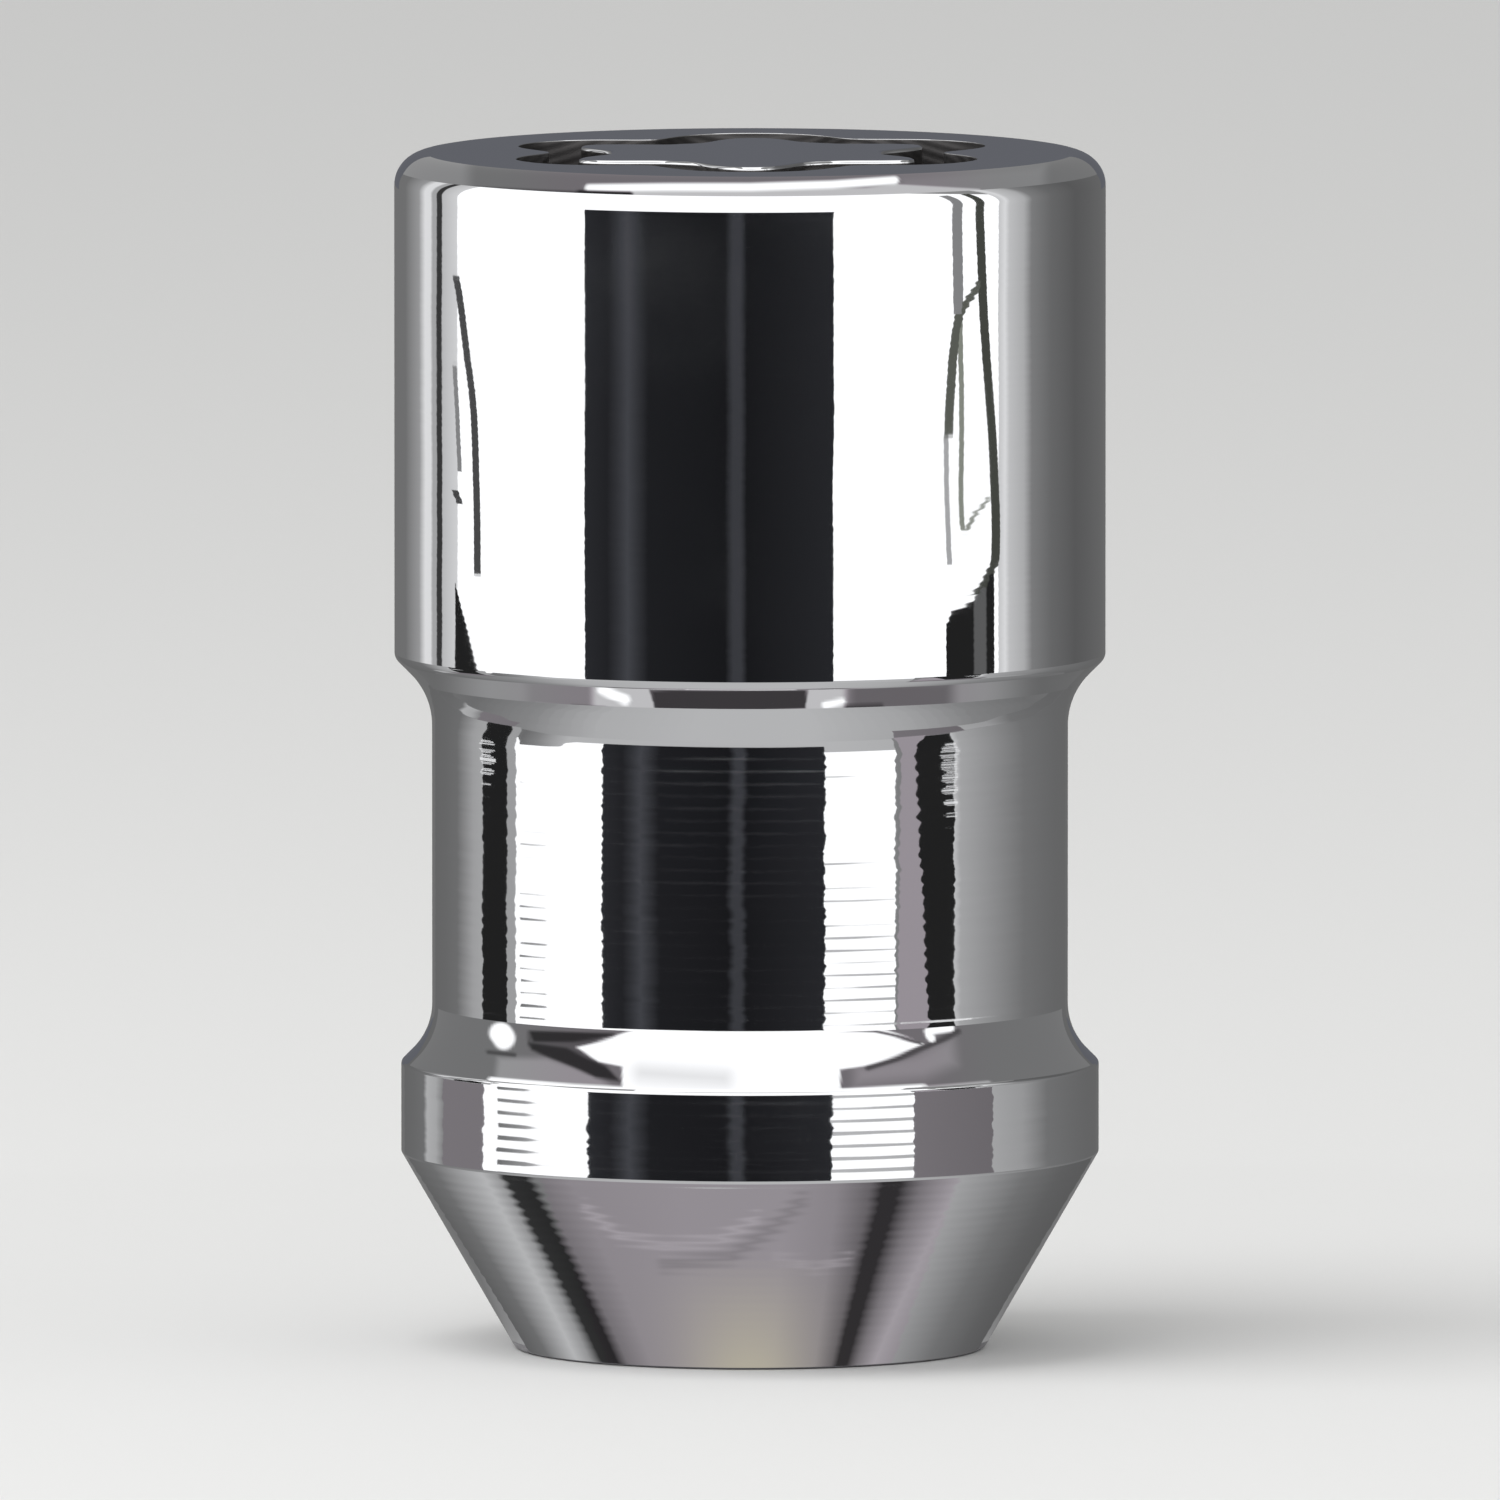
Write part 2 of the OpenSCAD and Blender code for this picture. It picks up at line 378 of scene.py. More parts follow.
def turned_tree(finishes):
    """Geometry Nodes that sweep the section's rows round the axis."""
    tree = bpy.data.node_groups.new("section_round_the_axis", "GeometryNodeTree")
    tree.interface.new_socket(name="Section", in_out="INPUT", socket_type="NodeSocketGeometry")
    tree.interface.new_socket(name="Nut", in_out="OUTPUT", socket_type="NodeSocketGeometry")
    tree.interface.new_socket(name="Steps round", in_out="INPUT", socket_type="NodeSocketInt")
    numbers = ["Path radius", "Pitch", "Thread top", "Thread fade", "Mouth radius"]
    for wave in path_waves:
        numbers += [f"{wave} crests", f"{wave} swing", f"{wave} turn"]
    for name in numbers:
        tree.interface.new_socket(name=name, in_out="INPUT", socket_type="NodeSocketFloat")
    given = tree.nodes.new("NodeGroupInput").outputs
    section = given["Section"]

    def node(kind, **inputs):
        made = tree.nodes.new(kind)
        for name, value in inputs.items():
            socket = made.inputs[name.replace("_", " ")]
            if isinstance(value, bpy.types.NodeSocket):
                tree.links.new(value, socket)
            else:
                socket.default_value = value
        return made

    def row_value(name, row):
        """The value that the section holds at a row."""
        if name == "position":
            field = tree.nodes.new("GeometryNodeInputPosition").outputs[0]
        else:
            named = node("GeometryNodeInputNamedAttribute", Name=name)
            named.data_type = "FLOAT"
            field = named.outputs["Attribute"]
        sample = tree.nodes.new("GeometryNodeSampleIndex")
        sample.data_type = "FLOAT_VECTOR" if name == "position" else "FLOAT"
        tree.links.new(section, sample.inputs["Geometry"])
        tree.links.new(field, sample.inputs["Value"])
        tree.links.new(row, sample.inputs["Index"])
        return sample.outputs[0]

    counted = node("GeometryNodeAttributeDomainSize", Geometry=section)
    rows = counted.outputs["Point Count"]
    columns = maths(tree, "ADD", given["Steps round"], 1)
    grid = node("GeometryNodeMeshGrid", Vertices_X=columns, Vertices_Y=rows)
    index = tree.nodes.new("GeometryNodeInputIndex").outputs[0]
    row = maths(tree, "MODULO", index, rows)
    turned = maths(tree, "DIVIDE", maths(tree, "FLOOR", maths(tree, "DIVIDE", index, rows)),
                   given["Steps round"])
    angle = maths(tree, "MULTIPLY", turned, math.tau)

    path, climb = given["Path radius"], 0.0
    for wave in path_waves:
        crests, swing = given[f"{wave} crests"], given[f"{wave} swing"]
        phase = maths(tree, "MULTIPLY", crests, maths(tree, "SUBTRACT", angle, given[f"{wave} turn"]))
        path = maths(tree, "ADD", path, maths(tree, "MULTIPLY", swing, maths(tree, "COSINE", phase)))
        steep = maths(tree, "MULTIPLY", crests, maths(tree, "MULTIPLY", swing, maths(tree, "SINE", phase)))
        climb = maths(tree, "ADD", climb, steep)
    slope = maths(tree, "DIVIDE", climb, path)
    stretch = maths(tree, "SQRT", maths(tree, "ADD", 1, maths(tree, "MULTIPLY", slope, slope)))

    place = node("ShaderNodeSeparateXYZ", Vector=row_value("position", row))
    along_path = maths(tree, "MULTIPLY", row_value("share", row), path)
    from_path = maths(tree, "MULTIPLY", row_value("aside", row), stretch)
    turned_r = maths(tree, "ADD", place.outputs["X"], maths(tree, "ADD", along_path, from_path))

    rising = maths(tree, "MULTIPLY", given["Pitch"], maths(tree, "SUBTRACT", turned, 1))
    risen = maths(tree, "ADD", place.outputs["Z"], rising)
    thread_z = maths(tree, "MINIMUM", maths(tree, "MAXIMUM", risen, 0), given["Thread top"])
    left = maths(tree, "SUBTRACT", given["Thread top"], thread_z)
    fade = maths(tree, "MINIMUM", maths(tree, "DIVIDE", left, given["Thread fade"]), 1)
    cut = maths(tree, "MULTIPLY", row_value("depth", row), fade)
    mouth = maths(tree, "SUBTRACT", given["Mouth radius"], thread_z)
    thread_r = maths(tree, "MAXIMUM", maths(tree, "ADD", place.outputs["X"], cut), mouth)

    on_thread = row_value("climb", row)
    plain = maths(tree, "SUBTRACT", 1, on_thread)
    radius = maths(tree, "ADD", maths(tree, "MULTIPLY", on_thread, thread_r),
                   maths(tree, "MULTIPLY", plain, turned_r))
    height = maths(tree, "ADD", maths(tree, "MULTIPLY", on_thread, thread_z),
                   maths(tree, "MULTIPLY", plain, place.outputs["Z"]))
    where = node("ShaderNodeCombineXYZ", X=maths(tree, "MULTIPLY", radius, maths(tree, "COSINE", angle)),
                 Y=maths(tree, "MULTIPLY", radius, maths(tree, "SINE", angle)), Z=height)
    swept = node("GeometryNodeSetPosition", Geometry=grid.outputs["Mesh"], Position=where.outputs[0])

    strips = maths(tree, "SUBTRACT", rows, 1)
    strip = maths(tree, "MODULO", index, strips)
    finish = row_value("finish", strip)
    smooth = maths(tree, "SUBTRACT", 1, row_value("climb", strip))
    shaded = node("GeometryNodeSetShadeSmooth", Geometry=swept.outputs[0], Shade_Smooth=smooth)
    coated = shaded.outputs[0]
    for number, material in enumerate(finishes):
        chosen = maths(tree, "COMPARE", finish, number, FINISH_MATCH)
        coated = node("GeometryNodeSetMaterial", Geometry=coated, Selection=chosen,
                      Material=material).outputs[0]
    closed = node("GeometryNodeMergeByDistance", Geometry=coated, Distance=CLOSING_GAP)
    whole = node("GeometryNodeRealizeInstances", Geometry=closed.outputs[0])
    tree.links.new(whole.outputs[0], tree.nodes.new("NodeGroupOutput").inputs["Nut"])
    return tree


def set_inputs(modifier, values):
    """Sets a Geometry Nodes modifier's inputs, each by its socket's identifier."""
    for item in modifier.node_group.interface.items_tree:
        if item.item_type == "SOCKET" and item.in_out == "INPUT" and item.name in values:
            modifier[item.identifier] = values[item.name]


nut = section_object()
sweep = nut.modifiers.new("sweep", "NODES")
sweep.node_group = turned_tree(finishes)
sizes = {"Steps round": STEPS_ROUND, "Path radius": PATH_R, "Pitch": PITCH, "Thread top": THREAD_TOP,
         "Thread fade": 1.2 * PITCH, "Mouth radius": MOUTH_R}
for wave, (crests, swing, turn) in path_waves.items():
    sizes[f"{wave} crests"] = float(crests)
    sizes[f"{wave} swing"] = swing
    sizes[f"{wave} turn"] = math.radians(turn + GROOVE_TURN)
set_inputs(sweep, sizes)
depsgraph = bpy.context.evaluated_depsgraph_get()
swept_mesh = bpy.data.meshes.new_from_object(
    nut.evaluated_get(depsgraph), preserve_all_data_layers=True, depsgraph=depsgraph)
nut.modifiers.clear()
nut.data = swept_mesh
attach(nut, "root")
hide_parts("nut_body")


# The floor
# A pale matt floor. Only its middle, round the nut, shows in the chrome, and darker than it is, so
# that the cone and the collar's underside look grey and not bleached.
NEAR_FLOOR_R = 60 * MM
FAR_FLOOR_R = 3.0
RING_STEPS = 96
PALE = (0.74, 0.74, 0.735, 1)
MIRRORED = (0.4, 0.39, 0.4, 1)


def new_object(name, points, faces):
    mesh = bpy.data.meshes.new(name)
    mesh.from_pydata(points, [], faces)
    made = bpy.data.objects.new(name, mesh)
    bpy.context.scene.collection.objects.link(made)
    return made


def flat_ring(name, inner, outer):
    """A flat ring on the ground, or a disc where its inner radius is 0."""
    points = [(r * math.cos(math.tau * k / RING_STEPS), r * math.sin(math.tau * k / RING_STEPS), 0)
              for r in (inner, outer) for k in range(RING_STEPS)]
    faces = [(k, RING_STEPS + k, RING_STEPS + (k + 1) % RING_STEPS, (k + 1) % RING_STEPS)
             for k in range(RING_STEPS)]
    if inner == 0:
        points = points[RING_STEPS:]
        faces = [tuple(range(RING_STEPS))]
    return new_object(name, points, faces)


def pale_floor():
    material = bpy.data.materials.new("pale_floor")
    material.use_nodes = True
    tree = material.node_tree
    shader = tree.nodes["Principled BSDF"]
    shader.inputs["Roughness"].default_value = 0.9
    shader.inputs["Specular IOR Level"].default_value = 0.1
    rays = tree.nodes.new("ShaderNodeLightPath")
    tone = tree.nodes.new("ShaderNodeMix")
    tone.data_type = "RGBA"
    tone.inputs["A"].default_value = PALE
    tone.inputs["B"].default_value = MIRRORED
    tree.links.new(rays.outputs["Is Glossy Ray"], tone.inputs["Factor"])
    tree.links.new(tone.outputs["Result"], shader.inputs["Base Color"])
    return material


near_floor = flat_ring("near_floor", 0, NEAR_FLOOR_R)
far_floor = flat_ring("far_floor", NEAR_FLOOR_R, FAR_FLOOR_R)
far_floor.visible_glossy = False
floor_material = pale_floor()
for part in (near_floor, far_floor):
    part.data.materials.append(floor_material)


# The camera
# It stands a metre and a half from the nut with a long lens, and looks down on it by five degrees.
CAMERA_DISTANCE = 1.5
CAMERA_HEIGHT = math.radians(5)
FRAME_HEIGHT = 46 * MM
SENSOR = 36.0
camera = bpy.data.objects.new("camera", bpy.data.cameras.new("camera"))
camera.location = (0, -CAMERA_DISTANCE * math.cos(CAMERA_HEIGHT),
                   TOP / 2 + CAMERA_DISTANCE * math.sin(CAMERA_HEIGHT))
camera.rotation_euler = (math.pi / 2 - CAMERA_HEIGHT, 0, 0)
camera.data.sensor_width = SENSOR
camera.data.lens = SENSOR * CAMERA_DISTANCE / FRAME_HEIGHT
camera.data.clip_start = 0.01
bpy.context.scene.collection.objects.link(camera)
bpy.context.scene.camera = camera
bpy.context.scene.view_settings.view_transform = "Standard"


# The studio's boxes and panels
# Chrome shows what stands round it. White boxes stand in front, left and right and hang overhead,
# and a low dark panel stands in front. They and all the sheets after them show in reflections
# alone, because one soft lamp and the sky light the floor.
PANEL_R = 1.2
PANEL_STEP = 4
OVERHEAD_Z = 1.0
OVERHEAD_STEPS = 8
NEUTRAL = (1, 1, 1)
COOL = (0.85, 0.88, 1.0)
WHITE = 1.5
# Heights of the panels' edges above the nut, in degrees
BOX_FOOT, BOX_TOP = -10, 52
DARK_TOP = -2
LOW_TOP = -5
SIDE_FOOT, SIDE_TOP = -60, 40


def glow():
    """A surface that shines with the colour stored at each of its points."""
    material = bpy.data.materials.new("glow")
    material.use_nodes = True
    tree = material.node_tree
    tree.nodes.clear()
    stored = tree.nodes.new("ShaderNodeAttribute")
    stored.attribute_name = "glow"
    light = tree.nodes.new("ShaderNodeEmission")
    end = tree.nodes.new("ShaderNodeOutputMaterial")
    tree.links.new(stored.outputs["Color"], light.inputs["Color"])
    tree.links.new(light.outputs[0], end.inputs["Surface"])
    return material


glowing = glow()


def sheet(name, columns, colours):
    """A stage sheet from columns of points, with a colour for each point."""
    tall = len(columns[0])
    points = [point for column in columns for point in column]
    faces = [(i * tall + j, (i + 1) * tall + j, (i + 1) * tall + j + 1, i * tall + j + 1)
             for i in range(len(columns) - 1) for j in range(tall - 1)]
    made = new_object(name, points, faces)
    stored = made.data.attributes.new("glow", "FLOAT_COLOR", "POINT")
    stored.data.foreach_set("color", [part for column in colours for colour in column
                                      for part in (*colour, 1)])
    made.data.materials.append(glowing)
    made.visible_camera = made.visible_diffuse = made.visible_shadow = False
    made.visible_transmission = made.visible_volume_scatter = False


def between(stops, step):
    """The stops, which are rows of numbers, with evenly spaced ones added where they lie far apart."""
    filled = []
    for first, last in zip(stops, stops[1:]):
        pieces = max(1, round(abs(last[0] - first[0]) / step))
        filled += [[a + (b - a) * i / pieces for a, b in zip(first, last)] for i in range(pieces)]
    return filled + [list(stops[-1])]


def at_heights(low, high, stops):
    """Stops of a place and its brightness, each with the same lower and upper edge added."""
    return [(side, level, low, high) for side, level in stops]


def panel(name, stops, tint=NEUTRAL, far=1.0):
    """A panel on a sphere round the nut. Each stop is an azimuth from the camera's side, the brightness
    there, and the heights of the lower and the upper edge, with all angles in degrees."""
    rows = max(1, round(max(high - low for _, _, low, high in stops) / PANEL_STEP))
    columns, colours = [], []
    for side, level, low, high in between(stops, PANEL_STEP):
        turn = math.radians(side)
        heights = [math.radians(low + (high - low) * j / rows) for j in range(rows + 1)]
        columns.append([[PANEL_R * far * v for v in (
            math.sin(turn) * math.cos(h), -math.cos(turn) * math.cos(h), math.sin(h))] for h in heights])
        colours.append([[level * t for t in tint]] * (rows + 1))
    sheet(name, columns, colours)


panel("left_soft_box", [(side, WHITE, foot, BOX_TOP) for side, foot in (
    (-110, BOX_FOOT), (-94, BOX_FOOT), (-92, -5.6), (-80, -5.8), (-73, -6.8), (-66, BOX_FOOT))])
panel("right_soft_box", [(27, WHITE, -6.1, BOX_TOP), (56, WHITE, -6.1, BOX_TOP), (64, WHITE, -8, 45),
                         (88, WHITE, BOX_FOOT, 24)])
panel("front_soft_box", [(side, WHITE, foot, BOX_TOP) for side, foot in (
    (-66, BOX_FOOT), (-55.01, BOX_FOOT), (-55, DARK_TOP), (27, DARK_TOP))])
# Each row of the overhead box: how far behind the nut it lies, its left and right end, and its brightness
overhead_rows = [(-0.5, -0.62, 0.9, WHITE), (0, -0.37, 0.55, WHITE), (0.5, -0.25, 0.35, WHITE),
                 (1.1, -0.25, 0.35, 0.35)]
overhead = [[(left + (right - left) * k / OVERHEAD_STEPS, back, OVERHEAD_Z)
             for back, left, right, _ in overhead_rows] for k in range(OVERHEAD_STEPS + 1)]
sheet("overhead_soft_box", overhead, [[[level] * 3 for *_, level in overhead_rows]] * len(overhead))
panel("dark_front", at_heights(BOX_FOOT, DARK_TOP, (
    (-55, 0.035), (-47, 0.025), (-43.5, 0.05), (-40, 0.085), (-36.5, 0.05), (-33, 0.02), (-8, 0.015),
    (-5.5, 0.065), (-3, 0.065), (-1, 0.015), (27, 0.03))), COOL)
panel("low_front", at_heights(SIDE_FOOT, LOW_TOP, (
    (-120, 0.3), (-92, 0.2), (-84, 0.3), (-70, 0.6), (30, 0.62), (90, 0.5))), far=1.05)
panel("left_side", at_heights(SIDE_FOOT, SIDE_TOP, (
    (-180, 0.16), (-150, 0.2), (-136, 0.4), (-131, 0.95), (-127, 0.95), (-125.5, 0.5), (-123, 0.5),
    (-122.5, 0.05), (-119.5, 0.05), (-119, 0.65), (-110, 0.85))))
panel("right_side", at_heights(SIDE_FOOT, SIDE_TOP, (
    (88, 0.75), (91, 0.95), (93, 0.7), (100, 0.55), (104, 0.27), (115, 0.18), (131, 0.13), (150, 0.15),
    (180, 0.16))))
panel("rear_dark", at_heights(DARK_TOP, SIDE_TOP, ((160, 0.15), (180, 0.15), (200, 0.16))), COOL, far=0.95)


# The blinds and rods beside the nut, which paint reflections
# Thin blinds and rods stand on a ring close round the nut and show in reflections alone. Each covers
# what the camera sees mirrored at its place on the head, the neck or the collar, and so paints the
# dark bands and lines there as painted reflections.
BLIND_R = 40 * MM
BEFORE_BLIND = 0.97
BLIND_STEP = 0.03
ROD_STEPS = 6
ROD_START = -20
DASH_HALF = 0.09
DASH_LEVEL = 1.1
WEDGE = [0.42, 0.38, 0.41]
PURPLE = (1.0, 0.92, 0.98)
OLIVE = (0.95, 1.0, 0.85)


def mirrored_way(share, tilt):
    """Where on a round of radius 1 a place lies, at a share of it aside from the axis, and the way that
    the camera looks after it is mirrored there. The surface leans back by tilt degrees."""
    turn, lean = math.asin(share), math.radians(tilt)
    normal = (math.sin(turn) * math.cos(lean), -math.cos(turn) * math.cos(lean), math.sin(lean))
    view = (0, -math.cos(CAMERA_HEIGHT), math.sin(CAMERA_HEIGHT))
    facing = 2 * sum(n * v for n, v in zip(normal, view))
    return (math.sin(turn), -math.cos(turn)), [facing * n - v for n, v in zip(normal, view)]


def beside_wall(share, height, wall_r, near=1.0):
    """The spot on the blinds' ring that the camera sees mirrored in an upright wall."""
    place, way = mirrored_way(share, 0)
    x, y = wall_r * place[0], wall_r * place[1]
    across = way[0] ** 2 + way[1] ** 2
    along = (x * way[0] + y * way[1]) / across
    run = math.sqrt(along * along + ((BLIND_R * near) ** 2 - wall_r ** 2) / across) - along
    return [x + run * way[0], y + run * way[1], height + run * way[2]]


def blind(name, stops, wall_r, tint=NEUTRAL):
    """A blind close beside the nut, a painted reflection given by what it covers in a wall. Each stop is a
    share of the wall's half width, the brightness there, and the heights of the lower and the upper edge."""
    columns, colours = [], []
    for share, level, low, high in between(stops, BLIND_STEP):
        columns.append([beside_wall(share, low, wall_r), beside_wall(share, high, wall_r)])
        colours.append([[level * t for t in tint]] * 2)
    sheet(name, columns, colours)


def rod(name, width, level, tint, spots):
    """A thin rod close beside the head, a painted reflection of a line on it, as a ribbon along a smooth
    curve through its spots, which are shares of the head's half width and depths below its top. A rod
    that starts within the head's rounded edge comes down from high above it."""
    smooth = []
    padded = [spots[0], *spots, spots[-1]]
    for a, b, c, d in zip(padded, padded[1:], padded[2:], padded[3:]):
        for i in range(ROD_STEPS):
            t = i / ROD_STEPS
            smooth.append([0.5 * (2 * q + (r - p) * t + (2 * p - 5 * q + 4 * r - s) * t ** 2
                                  + (3 * q - p - 3 * r + s) * t ** 3) for p, q, r, s in zip(a, b, c, d)])
    smooth.append(spots[-1])
    if spots[0][1] < HEAD_EDGE / MM:
        smooth.insert(0, (spots[0][0], ROD_START))
    columns = [[beside_wall(share + side * width / 2, TOP - depth * MM, HEAD_R) for side in (-1, 1)]
               for share, depth in smooth]
    sheet(name, columns, [[[level * t for t in tint]] * 2] * len(columns))


# The neck's blinds paint its dark and grey bands as reflections
neck_low, neck_high = NECK_Z + 0.1 * MM, SHOULDER_Z + 1.2 * MM
blind("neck_left_blind", at_heights(neck_low, neck_high, (
    (-0.99, 0.15), (-0.92, 0.2), (-0.87, 0.45), (-0.841, 0.5), (-0.84, 0.02), (-0.764, 0.02),
    (-0.762, 0.45), (-0.735, 0.45))), NECK_R)
blind("neck_right_blind", at_heights(neck_low, neck_high, (
    (0.456, 0.28), (0.508, 0.24), (0.51, 0.02), (0.64, 0.02), (0.642, 0.7), (0.66, 0.5), (0.76, 0.36),
    (0.86, 0.22), (0.99, 0.15))), NECK_R)
# A grey wedge on the neck, painted as a reflection from a sheet beside it
wedge_sides = [((0.462, neck_low), (0.475, SHOULDER_Z)), ((0.565, neck_low), (0.512, SHOULDER_Z))]
sheet("neck_wedge", [[beside_wall(share, height, NECK_R, BEFORE_BLIND) for share, height in side]
                     for side in wedge_sides], [[WEDGE] * 2] * 2)
# Bright dashes on the neck, painted glints from sheets beside it
# Each dash: its left and right end as shares of the neck's half width, and its depth below the shoulder
neck_dashes = [
    (0.595, 0.655, 0.75), (0.6, 0.65, 1.15), (0.6, 0.65, 1.6), (0.606, 0.65, 2.1), (0.615, 0.648, 2.55),
    (-0.85, -0.8, 1.05), (-0.846, -0.806, 1.45), (-0.844, -0.815, 1.8)]
for number, (left, right, depth) in enumerate(neck_dashes):
    ends = [SHOULDER_Z - (depth + half) * MM for half in (DASH_HALF, -DASH_HALF)]
    sheet(f"neck_dash_{number}", [[beside_wall(share, end, NECK_R, BEFORE_BLIND) for end in ends]
                                  for share in (left, right)], [[[DASH_LEVEL] * 3] * 2] * 2)
# The collar's blinds paint its bands as reflections, purple towards the middle
collar_low, collar_high = COLLAR_Z - 1.5 * MM, FLARE_Z + 0.88 * MM
collar_blinds = {
    "collar_left_edge": (NEUTRAL, ((-0.99, 0.15), (-0.935, 0.2), (-0.925, 0.55), (-0.9, 0.5), (-0.88, 0.3))),
    "collar_left_blind": (PURPLE, ((-0.88, 0.25), (-0.762, 0.25))),
    "collar_right_blind": (PURPLE, ((0.47, 0.24), (0.695, 0.2))),
    "collar_right_edge": (NEUTRAL, ((0.695, 0.5), (0.78, 0.42), (0.85, 0.22), (0.99, 0.15)))}
for name, (tint, stops) in collar_blinds.items():
    blind(name, at_heights(collar_low, collar_high, stops), COLLAR_R, tint)
# The blinds at the head's foot paint dark reflections there. They have a straight lower edge and a
# sloping upper one, given from that foot
foot_blinds = {
    "left_foot_blind": ((-0.828, 0.02, 2.9), (-0.757, 0.02, -0.1)),
    "right_foot_blind": ((0.55, 0.02, 1.8), (0.565, 0.02, 2.2), (0.625, 0.02, 2.5), (0.63, 0.14, 2.6),
                         (0.66, 0.14, 3), (0.665, 0.02, 3.2), (0.685, 0.02, 3.5))}
for name, stops in foot_blinds.items():
    foot_stops = [(share, level, HEAD_Z - 0.5 * MM, HEAD_Z + rise * MM) for share, level, rise in stops]
    blind(name, foot_stops, HEAD_R)
# Each rod, a painted reflection of a thin line on the head: its width, brightness, tint and spots
rods = {
    "right_rod": (0.024, 0.08, OLIVE, [(0.643, 0.9), (0.652, 3.2), (0.665, 5.8), (0.683, 8.7), (0.69, 11.4),
                                       (0.675, 12.1), (0.64, 12.7), (0.605, 12.8)]),
    "right_brace": (0.025, 0.14, OLIVE, [(0.652, 3), (0.62, 3.5), (0.59, 4), (0.573, 5), (0.561, 6.4),
                                         (0.555, 7.8)]),
    "right_upright": (0.028, 0.3, NEUTRAL, [(0.58, 0.9), (0.582, 2.3), (0.586, 4)]),
    "right_inner": (0.014, 0.32, OLIVE, [(0.59, 4.2), (0.592, 6.8), (0.595, 10.6), (0.63, 10.3),
                                         (0.67, 9.8)]),
    "right_faint": (0.014, 0.5, NEUTRAL, [(0.548, 7.8), (0.552, 9.8), (0.56, 11.8)]),
    "left_brace": (0.019, 0.09, NEUTRAL, [(-0.826, 3), (-0.81, 4), (-0.795, 5.4), (-0.775, 7.3),
                                          (-0.767, 9.8), (-0.765, 12.3)]),
    "left_inner": (0.012, 0.3, NEUTRAL, [(-0.83, 5.8), (-0.822, 7.3), (-0.815, 9.1)]),
    "left_dash": (0.018, 0.08, NEUTRAL, [(-0.83, 9.7), (-0.815, 10.1)])}
for name, drawn in rods.items():
    rod(name, *drawn)


# The sheets before the sloping faces, with painted reflections
# The flare, the shoulder and the head's rounded edge show narrow curved shapes. A sheet lies just in
# front of each and shows in reflections alone, with those shapes painted where the camera sees them
# mirrored: painted reflections, the white ones painted highlights.
CLOSE = 0.4 * MM
SHARE_STEP = 0.0075
# The darker painted reflections near the middle turn purple
TINTED_HALF, TINTED_FADE = 6.5 * MM, 3 * MM
TINTED_LEVEL, TINTED_LEVEL_FADE = 0.6, 0.4
SLOPE = 45
FLARE_STEPS = 30
STRAIGHT_STEPS = 6
# The flare's sheet starts at this lean, and the shoulder's ends this much before its slope's
FIRST_LEAN = 1
SHOULDER_TURN = 8
FLARE_MARGIN = 0.05 * MM
SHOULDER_MARGIN = 0.1 * MM


def soft_step(value, width):
    """0 below zero and 1 above it, with a soft change."""
    t = min(1, max(0, value / width + 0.5))
    return t * t * (3 - 2 * t)


def away_from(spot, points):
    """Distance of a spot from a line through points."""
    nearest = math.inf
    for a, b in zip(points, points[1:]):
        run = [q - p for p, q in zip(a, b)]
        along = sum((v - p) * r for v, p, r in zip(spot, a, run)) / sum(r * r for r in run)
        along = min(1, max(0, along))
        nearest = min(nearest, math.hypot(*(v - p - r * along for v, p, r in zip(spot, a, run))))
    return nearest


def inside(spot, outline):
    """Whether a spot lies in a closed outline."""
    crossings = 0
    for (ax, ay), (bx, by) in zip(outline, outline[1:] + outline[:1]):
        if (ay > spot[1]) != (by > spot[1]) and spot[0] < ax + (bx - ax) * (spot[1] - ay) / (by - ay):
            crossings += 1
    return crossings % 2 == 1


def painted(spot, ground, shapes):
    """The brightness at a spot. Each shape is painted over those before it, and is an outline to fill
    or, where it has a width, a line, with its brightness and the softness of its edge."""
    level = ground
    for points, width, shade, soft in shapes:
        if width:
            depth = width / 2 - away_from(spot, points)
        else:
            depth = away_from(spot, points + points[:1]) * (1 if inside(spot, points) else -1)
        level += (shade - level) * soft_step(depth, soft)
    return level


def close_sheet(name, section, shares, ground, shapes):
    """A sheet of painted reflections just in front of a slope. The shapes on it lie where the camera sees
    them mirrored there, in millimetres aside from the axis and down from the section's first place."""
    top = section[0][1] * math.cos(CAMERA_HEIGHT) - section[0][0] * math.sin(CAMERA_HEIGHT)
    columns, colours = [], []
    steps = round((shares[1] - shares[0]) / SHARE_STEP)
    for i in range(steps + 1):
        share = shares[0] + (shares[1] - shares[0]) * i / steps
        column, tones = [], []
        for radius, height, tilt in section:
            place, way = mirrored_way(share, tilt)
            x, y = radius * place[0], radius * place[1]
            column.append([x + CLOSE * way[0], y + CLOSE * way[1], height + CLOSE * way[2]])
            down = top - height * math.cos(CAMERA_HEIGHT) - y * math.sin(CAMERA_HEIGHT)
            level = painted((x / MM, down / MM), ground, shapes)
            tinted = soft_step(TINTED_HALF - abs(x), TINTED_FADE) * \
                soft_step(TINTED_LEVEL - level, TINTED_LEVEL_FADE)
            tones.append([level * (1 + (p - 1) * tinted) for p in PURPLE])
        columns.append(column)
        colours.append(tones)
    sheet(name, columns, colours)


